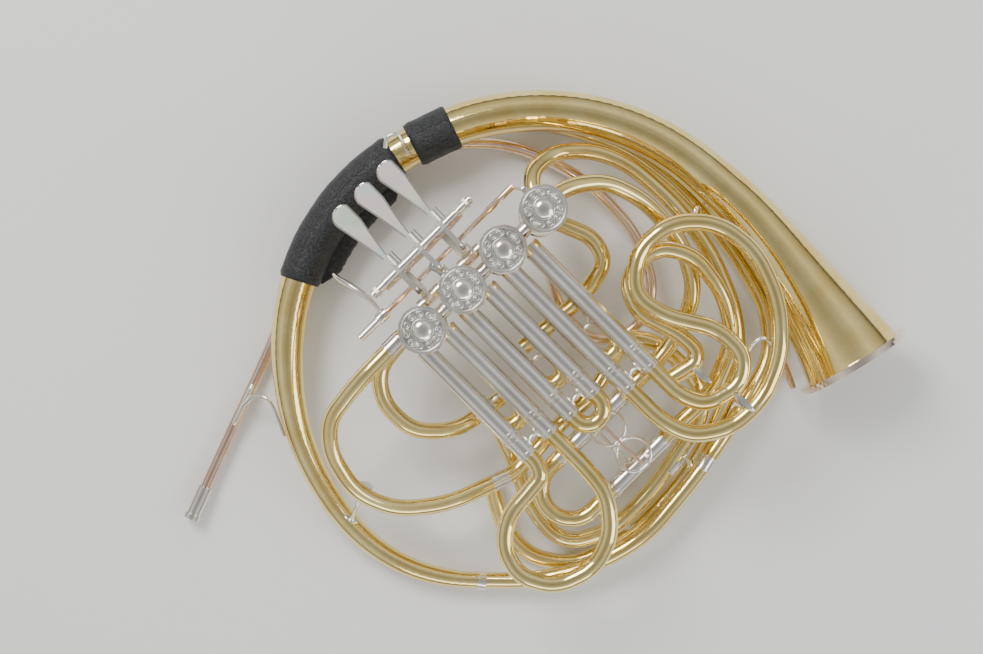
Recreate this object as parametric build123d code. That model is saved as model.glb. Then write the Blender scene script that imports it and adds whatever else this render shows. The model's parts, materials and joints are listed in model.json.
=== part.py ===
from build123d import *
import math
import os

# Full double French horn lying on its back with its screw bell taken off. Millimetres, +Z up.
# U runs along the valve slides and V runs along the row of valves, both level.

# Driving dimensions
WALL = 0.6                  # brass sheet of every tube
TUBE_OD = 12.2              # main cylindrical tubing
SLEEVE_OD = TUBE_OD + 2 * WALL      # outer slide tubes, which take the main tubing
SLIDE_CLEARANCE = 0.05      # radial play of a slide leg in its sleeve
PIVOT_CLEARANCE = 0.05      # radial play of hinges and rotors
PART_GAP = 0.5              # free space kept between moving pieces

VALVE_U = -63.0
VALVE_1_V = -56.0
VALVE_PITCH = 39.4
CASING_R = 16.2
CASING_WALL = 2.0
CASING_BOTTOM = 52.0
CASING_TOP = 112.0
CASING_FLOOR = 3.0
SPINDLE_R = 3.0
ROTOR_BORE_R = 8.0
CAP_R = 17.0
CAP_HEIGHT = 6.0
CAP_RIM = 1.6
CAP_DISH_DEPTH = 1.0
CAP_DOME_R = 6.3
KNUCKLE_R = 5.2             # short tubes between neighbouring casings
KNUCKLE_OFFSET = 8.0        # height between a knuckle and the slides nearest to it
SPINDLE_DROP = 8.0
STOP_ARM_T = 4.0

F_LEVEL = CASING_TOP - 18.0         # height of the F slides
B_LEVEL = CASING_BOTTOM + 14.0      # height of the B flat slides
LEG_SPREAD = 22.0           # distance between the two legs of a valve slide
LEG_START_U = VALVE_U + 10.0        # inside the casing, which cuts the sleeves to its round wall
F_SLEEVE_END_U = {1: 33.4, 2: 35.3, 3: 50.6}
B_SLEEVE_END_U = {1: 2.0, 2: 2.0, 3: 12.0}
SLIDE_PAIR_OFFSET = {1: 1.0, 2: 2.6, 3: 4.7}     # middle of each slide from its own valve
SLEEVE_GAP = 1.0            # dark line between sleeve and ferrule at rest
FERRULE_LENGTH = 17.0
LEG_LENGTH = 40.0           # part of a slide leg inside its sleeve
B_FERRULE_LENGTH = 8.0

TUNING_LEVEL = 50.0
TUNING_U = (71.5, 115.0)
TUNING_SLEEVE_V = (-42.0, 10.0)
TUNING_ROOT_LENGTH = 5.0    # narrowed root of a tuning sleeve, where its branch ends
TUNING_RUN = 20.0           # straight stretch between the tuning sleeves and their bend
TUNING_LEAD_IN = 14.0

PULL_RING_U = (78.5, 104.5)
PULL_RING_V = -13.5
PULL_RING_Z = 78.0
PULL_RING_R = 12.2
PULL_RING_WIRE_R = 1.3
POST_R = 1.6

HINGE_U = VALVE_U - 41.2
HINGE_Z = CASING_TOP - 4.0
HINGE_ROD_R = 2.2
HINGE_ROD_V = (-58.0, 26.0)
FINIAL_R = 3.2
FINIAL_LENGTH = 3.0
LEVER_1_V = -38.8
LEVER_PITCH = 21.6
LEVER_COUNT = 3
LEVER_HUB_R = 3.6
PADDLE_U = HINGE_U - 50.7
PADDLE_R = 8.6
PADDLE_T = 1.8
PADDLE_Z = HINGE_Z + 12.0
ARM_WIDTH = 3.6
ARM_T = 2.6
TAIL_U = HINGE_U + 20.2
POST_WIDTH = 4.0
HUB_END_GAP = 0.3
LEVER_HUB_LENGTH = LEVER_PITCH - POST_WIDTH - 2 * HUB_END_GAP
PLATE_HALF_WIDTH = 3.4
PLATE_T = 2.2
PLATE_FOOT = 4.0            # reach of the bridge plate's foot from casing to casing

THUMB_U = VALVE_U - 27.3
THUMB_Z = CASING_TOP - 20.0
THUMB_ROD_R = 1.8
THUMB_ROD_V = (-92.0, 60.0)
THUMB_COLLAR_V = (-74.0, -65.0)
THUMB_COLLAR_R = 4.0
THUMB_SPOON_LENGTH = 46.0
THUMB_SPOON_T = 2.6
THUMB_SPOON_HEIGHT = 11.0

RING_OUTER_R = 43.5
RING_WIDTH = 5.0
RING_FLANGE_T = 2.0
RING_THREAD_DEPTH = 2.4
GUARD_T = 2.2
GUARD_GAP = 0.3
FERRULE_COLLAR = (6.0, 0.7)         # length of the bell ferrule, and how far it stands out


def at_uv(u, v, z):
    root = math.sqrt(2)
    return Vector((u + v) / root, (v - u) / root, z)


U_DIR = at_uv(1, 0, 0)
V_DIR = at_uv(0, 1, 0)


def smooth_path(points):
    # Straight runs joined by arcs as large as the runs beside them allow.
    corners = [Vector(*p) for p in points]
    radii = []
    for before, corner, after in zip(corners, corners[1:], corners[2:]):
        run_in = corner - before
        run_out = after - corner
        half_turn = math.radians(run_in.get_angle(run_out)) / 2
        shorter = min(run_in.length, run_out.length)
        radii.append(0.45 * shorter / math.tan(half_turn))
    if not radii:
        return Line(*corners)
    return FilletPolyline(*corners, radius=radii)


def tube(points, outer_d=TUBE_OD, wall=WALL):
    path = smooth_path(points)
    start = Plane(origin=path @ 0, z_dir=path % 0)
    ring = start * (Circle(outer_d / 2) - Circle(outer_d / 2 - wall))
    return sweep(ring, path=path)


def rod(start, end, radius):
    axis = Vector(*end) - Vector(*start)
    return Plane(origin=start, z_dir=axis) * extrude(Circle(radius), axis.length)


def pipe(start, end, outer_r, inner_r):
    return rod(start, end, outer_r) - rod(start, end, inner_r)


def block(u_range, v_range, z_range):
    size = (u_range[1] - u_range[0], v_range[1] - v_range[0], z_range[1] - z_range[0])
    centre = at_uv(sum(u_range) / 2, sum(v_range) / 2, sum(z_range) / 2)
    return Plane(origin=centre, x_dir=U_DIR, z_dir=(0, 0, 1)) * Box(*size)


def horn_shell(first, last, grow_out, grow_in):
    # A tapering round shell along the bell branch, from one of its stations to another.
    solids = []
    for grow, reach in ((grow_out, 0.0), (grow_in, 0.5)):
        rings = []
        for i in range(first, last + 1):
            x, y, z, radius = BELL[i]
            before = Vector(*BELL[max(i - 1, 0)][:3])
            after = Vector(*BELL[min(i + 1, len(BELL) - 1)][:3])
            along = (after - before).normalized()
            shift = along * (reach * ((i == last) - (i == first)))
            plane = Plane(origin=Vector(x, y, z) + shift, z_dir=along, x_dir=(0, 0, 1))
            rings.append(plane * Circle(radius + grow))
        solids.append(loft(rings))
    return solids[0] - solids[1]


# Centre line and outer radius of the bell branch, from its ferrule to the screw ring
BELL = [
    (-46.5, -182.0, 14, 6.4), (-81, -177.5, 16, 6.9), (-113.5, -163.5, 18, 7.5),
    (-138, -143.5, 20, 8.0), (-159.5, -115, 23, 8.6), (-175.5, -82, 26, 9.5),
    (-184.5, -47, 29, 10.7), (-187, -10, 31, 12.0), (-182.5, 27, 32, 12.9),
    (-168.5, 65.5, 33, 13.4), (-143, 103, 33.5, 14.0), (-107.5, 133, 34, 14.4),
    (-65, 154.5, 34.5, 14.7), (-20, 165, 35, 15.0), (22, 164.5, 36, 15.3),
    (64, 154, 36.5, 15.8), (103, 133, 37.5, 16.6), (136, 105, 39, 18.0),
    (164, 74, 40.5, 21.0), (188, 41, 42, 25.5), (208, 12.5, 43.5, 30.5), (226, -16.5, 45, 37.2),
]
THROAT_START = 17
GUARD_RANGE = (8, 12)

ROUTES = {
    "outer_branch": [
        (-14, 163, 9), (20, 157, 9.5), (66.5, 141.5, 12), (104, 112, 14), (141, 69.5, 16), (168.5, 21, 20),
        (171, -14.5, 23), (151, -50, 28), (117.5, -100, 30), (80.5, -144.5, 29), (53, -162.5, 28),
        (22, -175.5, 24), (-8, -182, 17), (-40.5, -182.3, 14),
    ],
    "second_branch": [
        (-2, 92, 70), (-10, 116, 62), (6, 134, 46), (38, 136.5, 40), (64, 126, 40), (94.5, 100, 40),
        (123.5, 63.5, 40), (142, 19.5, 38), (146, -18.5, 31), (135, -56.5, 20), (110, -103.5, 14),
        (70.5, -147, 11), (26, -171.5, 8), (-8.5, -165, 9), (-29, -141, 11), (-37.5, -107, 18),
    ],
    "third_branch": [
        (-2, 92, 98), (18, 106, 94), (44, 110, 84), (72, 98, 73), (101, 67.5, 64), (111.5, 30, 57),
        (94.5, -4, 51), (84, -18, 50),
    ],
    "inner_crook": [
        (91.5, -29, 79), (113.5, -15, 79), (97.5, 2, 79), (66, 17.5, 79), (59, 42, 79),
        (79.5, 64.5, 79), (108, 58, 78), (130, 30, 73), (137, -2, 66), (122, -42, 54),
    ],
    "left_branch": [
        (-96, 3.5, 94), (-131, -32.5, 94), (-151, -58.5, 90), (-150.5, -82, 84), (-134, -110.5, 76),
        (-105.5, -124, 66), (-68, -121, 57), (-30.5, -104, 50),
    ],
    "lower_branch": [
        (-30.5, -104, 50), (-19, -98.8, 47.9), (6, -71, 46), (42.5, -37.5, 38), (60, 0, 36), (85, -3.5, 36),
        (114, -30, 33), (121, -56, 26), (82.5, -114.5, 24), (52, -144, 24), (16.5, -154, 24),
        (-7, -127.5, 24), (-19, -93, 26), (-35, -60, 30), (-55, -40, 34),
    ],
    "inner_left_branch": [
        (-98, 2, 67), (-118, -24.5, 67), (-114, -48, 65), (-94, -68, 60), (-62, -68.5, 52),
        (-30, -45, 44),
    ],
    "change_crook": [
        (12, 82, 60), (37, 71.5, 58), (46, 54, 55), (31.5, 30.5, 51.5), (10, 12, 50), (-14, -8, 50),
    ],
}
SLEEVE_OF = {"third_branch": 0, "inner_crook": 1}     # which tuning sleeve a branch ends in
LEADPIPE = [
    (-256, -124.5, 11), (-228, -63, 10), (-201.5, -6.5, 9), (-186, 37, 9), (-158, 83, 9),
    (-119, 123.5, 9), (-76, 144, 10.5), (-22.5, 144.5, 14), (33, 118.5, 20), (72, 75, 27),
    (84, 34.5, 30), (73, 6.5, 24), (40, -6, 22), (14, 18, 30), (3, 60, 42),
]
LEADPIPE_OD = 8.4
RECEIVER_R = 5.8
RECEIVER_BORE_R = 4.4
RECEIVER_LENGTH = 26.0
RECEIVER_SHANK = 22.0
RECEIVER_COLLAR = (4.0, 0.9)        # length of the collar at the mouth, and how far it stands out

# Corners of each F crook, from the end of its ferrules and from the middle of its slide
F_CROOKS = {
    1: [
        (6.6, -11), (16.6, -15), (18.1, -29), (19.6, -51), (32.6, -69), (54.6, -76),
        (78.6, -63), (88.6, -35), (80.6, -10), (58.6, 8), (36.6, 11),
    ],
    2: [],
    3: [
        (30.4, -11), (53.4, -3.5), (69.4, 19.5), (71.4, 49.5), (57.4, 82.5), (29.4, 107.5),
        (-6.6, 120.5), (-39.6, 115.5), (-62.6, 92.5), (-64.6, 60.5), (-44.6, 38),
        (-18.6, 43), (13.4, 63), (39.4, 63.5), (52.4, 46.5), (45.4, 19.5), (27.4, 11),
    ],
}
B_CROOK_REACH = {1: 8.0, 2: 8.0, 3: 12.0}
F2_REACH = 4.0


def valve_v(number):
    return VALVE_1_V + VALVE_PITCH * (number - 1)


def leg_positions(number):
    middle = valve_v(number) + SLIDE_PAIR_OFFSET[number]
    return middle - LEG_SPREAD / 2, middle + LEG_SPREAD / 2


def casing(number):
    centre_v = valve_v(number)
    outer = rod(at_uv(VALVE_U, centre_v, CASING_BOTTOM), at_uv(VALVE_U, centre_v, CASING_TOP), CASING_R)
    floor = CASING_BOTTOM + CASING_FLOOR
    inside = rod(
        at_uv(VALVE_U, centre_v, floor),
        at_uv(VALVE_U, centre_v, CASING_TOP),
        CASING_R - CASING_WALL,
    )
    hole = rod(
        at_uv(VALVE_U, centre_v, CASING_BOTTOM),
        at_uv(VALVE_U, centre_v, floor),
        SPINDLE_R + PIVOT_CLEARANCE,
    )
    return outer - inside - hole


def cap(number):
    centre_v = valve_v(number)
    top = CASING_TOP + CAP_HEIGHT
    disc = rod(at_uv(VALVE_U, centre_v, CASING_TOP), at_uv(VALVE_U, centre_v, top), CAP_R)
    dish = pipe(
        at_uv(VALVE_U, centre_v, top - CAP_DISH_DEPTH),
        at_uv(VALVE_U, centre_v, top),
        CAP_R - CAP_RIM,
        CAP_DOME_R,
    )
    return disc - dish


def rotor(number):
    centre_v = valve_v(number)
    low = CASING_BOTTOM + CASING_FLOOR + PART_GAP
    plug_r = CASING_R - CASING_WALL - PIVOT_CLEARANCE
    plug = rod(at_uv(VALVE_U, centre_v, low), at_uv(VALVE_U, centre_v, CASING_TOP - PART_GAP), plug_r)
    for level in (B_LEVEL, F_LEVEL):
        for side in (-1, 1):
            scoop_u = VALVE_U + side * plug_r
            plug -= rod(
                at_uv(scoop_u, centre_v - 2 * plug_r, level),
                at_uv(scoop_u, centre_v + 2 * plug_r, level),
                TUBE_OD / 2 - WALL,
            )
    plug -= rod(at_uv(VALVE_U, centre_v, low + 3), at_uv(VALVE_U, centre_v, CASING_TOP), ROTOR_BORE_R)
    spindle_low = CASING_BOTTOM - SPINDLE_DROP
    spindle = rod(at_uv(VALVE_U, centre_v, spindle_low), at_uv(VALVE_U, centre_v, low), SPINDLE_R)
    stop = block(
        (VALVE_U - 11, VALVE_U + 4), (centre_v - 3, centre_v + 3), (spindle_low, spindle_low + STOP_ARM_T),
    )
    return plug + spindle + stop


def sleeves(number, level, end_u):
    solids = []
    inner_r = SLEEVE_OD / 2 - WALL
    for v in leg_positions(number):
        leg = pipe(at_uv(LEG_START_U, v, level), at_uv(end_u, v, level), SLEEVE_OD / 2, inner_r)
        solids += (leg - casing_envelope(number)).solids()
    return Compound(children=solids)


def casing_envelope(number):
    centre_v = valve_v(number)
    return rod(
        at_uv(VALVE_U, centre_v, CASING_BOTTOM), at_uv(VALVE_U, centre_v, CASING_TOP), CASING_R,
    )


def slide_legs(number, level, end_u, ferrule_length):
    # The inner legs and the nickel ferrules that join them to the crook.
    solids = []
    leg_r = SLEEVE_OD / 2 - WALL - SLIDE_CLEARANCE
    for v in leg_positions(number):
        ferrule_u = end_u + SLEEVE_GAP
        last_u = ferrule_u + ferrule_length
        leg = rod(at_uv(end_u - LEG_LENGTH, v, level), at_uv(ferrule_u, v, level), leg_r)
        ferrule = rod(at_uv(ferrule_u, v, level), at_uv(last_u, v, level), SLEEVE_OD / 2)
        bore = rod(at_uv(end_u - LEG_LENGTH, v, level), at_uv(last_u, v, level), leg_r - WALL)
        solids += (leg + ferrule - bore).solids()
    return Compound(children=solids)


def crook(number, level, start_u, via):
    low_v, high_v = leg_positions(number)
    middle_v = (low_v + high_v) / 2
    points = [at_uv(start_u, low_v, level)]
    points += [at_uv(start_u + u, middle_v + v, level) for u, v in via]
    points += [at_uv(start_u, high_v, level)]
    return tube([tuple(p) for p in points])


def u_bend(number, level, start_u, reach):
    low_v, high_v = leg_positions(number)
    radius = LEG_SPREAD / 2
    turn_u = start_u + reach
    path = Line(at_uv(start_u, low_v, level), at_uv(turn_u, low_v, level))
    path += ThreePointArc(
        at_uv(turn_u, low_v, level),
        at_uv(turn_u + radius, (low_v + high_v) / 2, level),
        at_uv(turn_u, high_v, level),
    )
    path += Line(at_uv(turn_u, high_v, level), at_uv(start_u, high_v, level))
    ring = Plane(origin=at_uv(start_u, low_v, level), z_dir=U_DIR) * (
        Circle(TUBE_OD / 2) - Circle(TUBE_OD / 2 - WALL)
    )
    return sweep(ring, path=path)


def tuning_sleeves():
    solids = []
    inner_r = SLEEVE_OD / 2 - WALL
    low, high = TUNING_SLEEVE_V
    root = high - TUNING_ROOT_LENGTH
    for u in TUNING_U:
        sleeve = pipe(at_uv(u, low, TUNING_LEVEL), at_uv(u, root, TUNING_LEVEL), SLEEVE_OD / 2, inner_r)
        sleeve += pipe(
            at_uv(u, root, TUNING_LEVEL),
            at_uv(u, high, TUNING_LEVEL),
            SLEEVE_OD / 2,
            TUBE_OD / 2 - WALL,
        )
        solids += sleeve.solids()
    return Compound(children=solids)


def tuning_slide():
    low = TUNING_SLEEVE_V[0] - SLEEVE_GAP
    left, right = TUNING_U
    radius = (right - left) / 2
    turn_v = low - TUNING_RUN
    path = Line(at_uv(left, low, TUNING_LEVEL), at_uv(left, turn_v, TUNING_LEVEL))
    path += ThreePointArc(
        at_uv(left, turn_v, TUNING_LEVEL),
        at_uv(left + radius, turn_v - radius, TUNING_LEVEL),
        at_uv(right, turn_v, TUNING_LEVEL),
    )
    path += Line(at_uv(right, turn_v, TUNING_LEVEL), at_uv(right, low, TUNING_LEVEL))
    ring = Plane(origin=at_uv(left, low, TUNING_LEVEL), z_dir=-1 * V_DIR) * (
        Circle(TUBE_OD / 2) - Circle(TUBE_OD / 2 - WALL)
    )
    bend = sweep(ring, path=path)
    leg_r = SLEEVE_OD / 2 - WALL - SLIDE_CLEARANCE
    for u in TUNING_U:
        start = at_uv(u, low, TUNING_LEVEL)
        bend += pipe(start, at_uv(u, low + LEG_LENGTH, TUNING_LEVEL), leg_r, leg_r - WALL)
    return bend


def lever(index):
    v = LEVER_1_V + LEVER_PITCH * index
    side = LEVER_HUB_LENGTH / 2
    hub = rod(at_uv(HINGE_U, v - side, HINGE_Z), at_uv(HINGE_U, v + side, HINGE_Z), LEVER_HUB_R)
    paddle = rod(at_uv(PADDLE_U, v, PADDLE_Z), at_uv(PADDLE_U, v, PADDLE_Z + PADDLE_T), PADDLE_R)
    paddle -= block((PADDLE_U - 12, PADDLE_U + 12), (v + 7.0, v + 12), (PADDLE_Z - 2, PADDLE_Z + 6))
    outline = Polyline(
        (PADDLE_U + 4, PADDLE_Z), (PADDLE_U + 4, PADDLE_Z + PADDLE_T), (HINGE_U - 12, PADDLE_Z - 2.0),
        (HINGE_U + 2, HINGE_Z + 3.2), (TAIL_U, HINGE_Z - 1.0), (TAIL_U, HINGE_Z - 3.6),
        (HINGE_U, HINGE_Z - 2.5), (HINGE_U - 13, PADDLE_Z - 5.2), close=True,
    )
    section = Plane(origin=at_uv(0, v + ARM_WIDTH / 2, 0), x_dir=U_DIR, z_dir=-1 * V_DIR)
    arm = extrude(section * make_face(outline), ARM_WIDTH)
    bore_r = HINGE_ROD_R + PIVOT_CLEARANCE
    bore = rod(at_uv(HINGE_U, v - 20, HINGE_Z), at_uv(HINGE_U, v + 20, HINGE_Z), bore_r)
    return hub + paddle + arm - bore


def hinge_rod():
    low, high = HINGE_ROD_V
    solid = rod(at_uv(HINGE_U, low, HINGE_Z), at_uv(HINGE_U, high, HINGE_Z), HINGE_ROD_R)
    for start in (low - FINIAL_LENGTH, high):
        end = start + FINIAL_LENGTH
        solid += rod(at_uv(HINGE_U, start, HINGE_Z), at_uv(HINGE_U, end, HINGE_Z), FINIAL_R)
    return solid


def lever_posts():
    # Bridge plates from the valves to the hinge, with ears round both rods.
    plate_low = THUMB_Z + 4.2
    plate_z = (plate_low, plate_low + PLATE_T)
    post_v = [LEVER_1_V + LEVER_PITCH * (i - 0.5) for i in range(LEVER_COUNT + 1)]
    solid = block((HINGE_U - 2, HINGE_U + 2), (post_v[0] - 2, post_v[-1] + 2), plate_z)
    for v in post_v:
        near = (v - POST_WIDTH / 2, v + POST_WIDTH / 2)
        solid += block((HINGE_U - 4, HINGE_U + 4), near, (plate_z[0], HINGE_Z + 4))
    for number in (1, 2):
        between = valve_v(number) + VALVE_PITCH / 2
        near = (between - PLATE_HALF_WIDTH, between + PLATE_HALF_WIDTH)
        solid += block((HINGE_U - 2, VALVE_U), near, plate_z)
        solid += block((VALVE_U - PLATE_FOOT, VALVE_U), (valve_v(number), valve_v(number + 1)), plate_z)
        solid += block((THUMB_U - 4, THUMB_U + 4), near, (THUMB_Z - 4, plate_z[1]))
    solid -= rod(at_uv(HINGE_U, -100, HINGE_Z), at_uv(HINGE_U, 100, HINGE_Z), HINGE_ROD_R)
    thumb_bore = THUMB_ROD_R + PIVOT_CLEARANCE
    solid -= rod(at_uv(THUMB_U, -100, THUMB_Z), at_uv(THUMB_U, 100, THUMB_Z), thumb_bore)
    for number in (1, 2, 3):
        solid -= casing_envelope(number)
    return solid


def thumb_lever():
    low, high = THUMB_ROD_V
    solid = rod(at_uv(THUMB_U, low, THUMB_Z), at_uv(THUMB_U, high, THUMB_Z), THUMB_ROD_R)
    collar_low, collar_high = THUMB_COLLAR_V
    solid += rod(at_uv(THUMB_U, low, THUMB_Z), at_uv(THUMB_U, collar_low, THUMB_Z), THUMB_ROD_R + 1.0)
    solid += rod(at_uv(THUMB_U, collar_low, THUMB_Z), at_uv(THUMB_U, collar_high, THUMB_Z), THUMB_COLLAR_R)
    far_u = THUMB_U - THUMB_SPOON_LENGTH
    outline = Polyline(
        (THUMB_U, THUMB_Z + 2), (THUMB_U - 16, THUMB_Z + 3), (far_u, THUMB_Z - 6),
        (far_u - 2, THUMB_Z - 6 - THUMB_SPOON_HEIGHT), (far_u + 8, THUMB_Z - THUMB_SPOON_HEIGHT - 2),
        (THUMB_U - 14, THUMB_Z - 5), (THUMB_U, THUMB_Z - 2), close=True,
    )
    spoon_v = (collar_low + collar_high + THUMB_SPOON_T) / 2
    section = Plane(origin=at_uv(0, spoon_v, 0), x_dir=U_DIR, z_dir=-1 * V_DIR)
    solid += extrude(section * make_face(outline), THUMB_SPOON_T)
    return solid + block((THUMB_U - 1, THUMB_U + 8), (high - 4, high), (THUMB_Z - 1.6, THUMB_Z + 1.6))


def knuckles():
    # Short tubes between neighbouring casings.
    solids = []
    for number in (1, 2, 3):
        for level in (B_LEVEL + KNUCKLE_OFFSET, F_LEVEL - KNUCKLE_OFFSET):
            stub = pipe(
                at_uv(VALVE_U, valve_v(number), level),
                at_uv(VALVE_U, valve_v(number + 1), level),
                KNUCKLE_R,
                KNUCKLE_R - WALL,
            )
            stub = stub - casing_envelope(number) - casing_envelope(number + 1)
            solids += stub.solids()
    return Compound(children=solids)


def receiver_axis():
    return (Vector(*LEADPIPE[1]) - Vector(*LEADPIPE[0])).normalized()


def mouthpiece_receiver():
    end = Vector(*LEADPIPE[0])
    mouth = end - receiver_axis() * RECEIVER_LENGTH * 0.5
    inner = end + receiver_axis() * RECEIVER_LENGTH * 0.5
    collar_length, collar_height = RECEIVER_COLLAR
    solid = rod(mouth, inner, RECEIVER_R)
    solid += rod(mouth, mouth + receiver_axis() * collar_length, RECEIVER_R + collar_height)
    solid -= rod(mouth, inner, LEADPIPE_OD / 2)
    bore_end = mouth + receiver_axis() * RECEIVER_SHANK
    return solid - rod(mouth, bore_end, RECEIVER_BORE_R)


def leadpipe():
    points = [Vector(*LEADPIPE[0]) + receiver_axis() * (RECEIVER_SHANK - RECEIVER_LENGTH / 2)]
    points += [Vector(*p) for p in LEADPIPE[1:]]
    return tube([tuple(p) for p in points], LEADPIPE_OD)


def bell_ring():
    x, y, z, radius = BELL[-1]
    along = (Vector(*BELL[-1][:3]) - Vector(*BELL[-2][:3])).normalized()
    start = Vector(x, y, z)
    flange = pipe(start, start + along * RING_WIDTH, RING_OUTER_R, radius - WALL)
    step = pipe(
        start + along * RING_FLANGE_T,
        start + along * RING_WIDTH,
        RING_OUTER_R,
        RING_OUTER_R - RING_THREAD_DEPTH,
    )
    return flange - step


def bell_ferrule():
    start = Vector(*BELL[0][:3])
    along = (Vector(*BELL[1][:3]) - start).normalized()
    length, height = FERRULE_COLLAR
    return pipe(start - along * length, start, BELL[0][3] + height, TUBE_OD / 2)


def hand_guard():
    return horn_shell(*GUARD_RANGE, GUARD_GAP + GUARD_T, GUARD_GAP)


def leadpipe_brace():
    points = [
        (-222, -52, 16), (-213, -44, 24), (-202, -45, 28), (-197, -54, 27), (-190, -74, 24),
    ]
    return rod(points[0], points[1], 1.4) + tube(points, 2.4, 1.1)


def pull_rings():
    solids = []
    for centre_u, foot_u in zip(PULL_RING_U, TUNING_U):
        ring = Plane(origin=at_uv(centre_u, PULL_RING_V, PULL_RING_Z)) * Torus(PULL_RING_R, PULL_RING_WIRE_R)
        foot_v = PULL_RING_V + math.sqrt(PULL_RING_R**2 - (foot_u - centre_u) ** 2)
        foot = at_uv(foot_u, foot_v, TUNING_LEVEL + SLEEVE_OD / 2)
        post = rod(foot, at_uv(foot_u, foot_v, PULL_RING_Z), POST_R)
        solids += (ring + post).solids()
    return Compound(children=solids)


def finger_hook():
    points = [(-95, 131.5, 46), (-99, 137, 56), (-104, 147, 62), (-112, 144, 62), (-113, 136, 60)]
    x, y, z, radius = BELL[11]
    along = Vector(*BELL[12][:3]) - Vector(*BELL[10][:3])
    branch = Plane(origin=(x, y, z), z_dir=along) * Cylinder(radius + GUARD_GAP + GUARD_T, 60)
    return max((tube(points, 3.0, 1.4) - branch).solids(), key=lambda s: s.volume)


def branch_tube(name, route):
    # One plain branch, ended against any valve that it runs into.
    points = list(route)
    if name in SLEEVE_OF:
        u = TUNING_U[SLEEVE_OF[name]]
        high = TUNING_SLEEVE_V[1]
        points += [tuple(at_uv(u, high + TUNING_LEAD_IN, TUNING_LEVEL)), tuple(at_uv(u, high, TUNING_LEVEL))]
    solid = tube(points)
    for number in (1, 2, 3, 4):
        solid = solid - casing_envelope(number)
    if name == "outer_branch":
        solid = solid - bell_ferrule()
    return max(solid.solids(), key=lambda s: s.volume)


nodes = {}
nodes["bell_branch"] = horn_shell(0, THROAT_START, 0, -WALL)
nodes["bell_throat"] = horn_shell(THROAT_START, len(BELL) - 1, 0, -WALL)
nodes["bell_ring"] = bell_ring()
nodes["bell_ferrule"] = bell_ferrule()
nodes["hand_guard"] = hand_guard()
nodes["leadpipe"] = leadpipe()
nodes["mouthpiece_receiver"] = mouthpiece_receiver()
nodes["leadpipe_brace"] = leadpipe_brace()
nodes["finger_hook"] = finger_hook()
for name, route in ROUTES.items():
    nodes[name] = branch_tube(name, route)
for number in (1, 2, 3, 4):
    nodes[f"valve_casing_{number}"] = casing(number)
    nodes[f"valve_cap_{number}"] = cap(number)
    nodes[f"rotor_{number}"] = rotor(number)
for number in (1, 2, 3):
    f_end = F_SLEEVE_END_U[number]
    f_start = f_end + SLEEVE_GAP + FERRULE_LENGTH
    nodes[f"f_sleeves_{number}"] = sleeves(number, F_LEVEL, f_end)
    nodes[f"f_legs_{number}"] = slide_legs(number, F_LEVEL, f_end, FERRULE_LENGTH)
    if F_CROOKS[number]:
        nodes[f"f_crook_{number}"] = crook(number, F_LEVEL, f_start, F_CROOKS[number])
    else:
        nodes[f"f_crook_{number}"] = u_bend(number, F_LEVEL, f_start, F2_REACH)
    b_end = B_SLEEVE_END_U[number]
    b_start = b_end + SLEEVE_GAP + B_FERRULE_LENGTH
    nodes[f"b_sleeves_{number}"] = sleeves(number, B_LEVEL, b_end)
    nodes[f"b_legs_{number}"] = slide_legs(number, B_LEVEL, b_end, B_FERRULE_LENGTH)
    nodes[f"b_crook_{number}"] = u_bend(number, B_LEVEL, b_start, B_CROOK_REACH[number])
    nodes[f"lever_{number}"] = lever(number - 1)
nodes["tuning_sleeves"] = tuning_sleeves()
nodes["tuning_slide"] = tuning_slide()
nodes["hinge_rod"] = hinge_rod()
nodes["lever_posts"] = lever_posts()
nodes["thumb_lever"] = thumb_lever()
nodes["knuckles"] = knuckles()
nodes["pull_rings"] = pull_rings()

# The origin is the middle of the underside of the whole horn.
boxes = [shape.bounding_box() for shape in nodes.values()]
origin = Vector(
    (min(b.min.X for b in boxes) + max(b.max.X for b in boxes)) / 2,
    (min(b.min.Y for b in boxes) + max(b.max.Y for b in boxes)) / 2,
    min(b.min.Z for b in boxes),
)

os.makedirs("parts", exist_ok=True)
for name, shape in nodes.items():
    export_step(shape.moved(Location(-1 * origin)), f"parts/{name}.step")
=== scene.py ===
"""Looks of the French horn: materials, leather guard, engraved caps, inlays, wires and braces."""

import json
import math

import bpy
from mathutils import Matrix, Vector


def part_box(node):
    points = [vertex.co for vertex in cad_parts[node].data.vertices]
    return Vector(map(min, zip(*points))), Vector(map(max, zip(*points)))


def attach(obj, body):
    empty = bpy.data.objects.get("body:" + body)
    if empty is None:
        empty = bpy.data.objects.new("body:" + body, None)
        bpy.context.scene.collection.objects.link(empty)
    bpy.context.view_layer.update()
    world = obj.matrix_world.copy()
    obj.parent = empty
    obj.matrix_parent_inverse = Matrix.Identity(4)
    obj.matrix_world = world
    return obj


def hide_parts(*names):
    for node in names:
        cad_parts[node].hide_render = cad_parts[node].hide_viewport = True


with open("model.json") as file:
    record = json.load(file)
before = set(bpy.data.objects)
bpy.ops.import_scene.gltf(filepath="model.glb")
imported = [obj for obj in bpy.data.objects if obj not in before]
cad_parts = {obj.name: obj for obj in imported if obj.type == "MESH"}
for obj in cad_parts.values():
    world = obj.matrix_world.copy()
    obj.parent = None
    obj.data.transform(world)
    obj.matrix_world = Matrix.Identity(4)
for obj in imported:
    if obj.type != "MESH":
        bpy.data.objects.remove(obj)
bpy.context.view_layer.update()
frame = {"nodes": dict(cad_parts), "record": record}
nodes = frame["nodes"]
HORN = "horn"
MM = 0.001

# The valve row: U runs along the slides and V along the valves, in millimetres.
VALVE_U = -63.0
VALVE_1_V = -56.0
CASING_BOTTOM = 52.0
ROOT_2 = math.sqrt(2)


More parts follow.
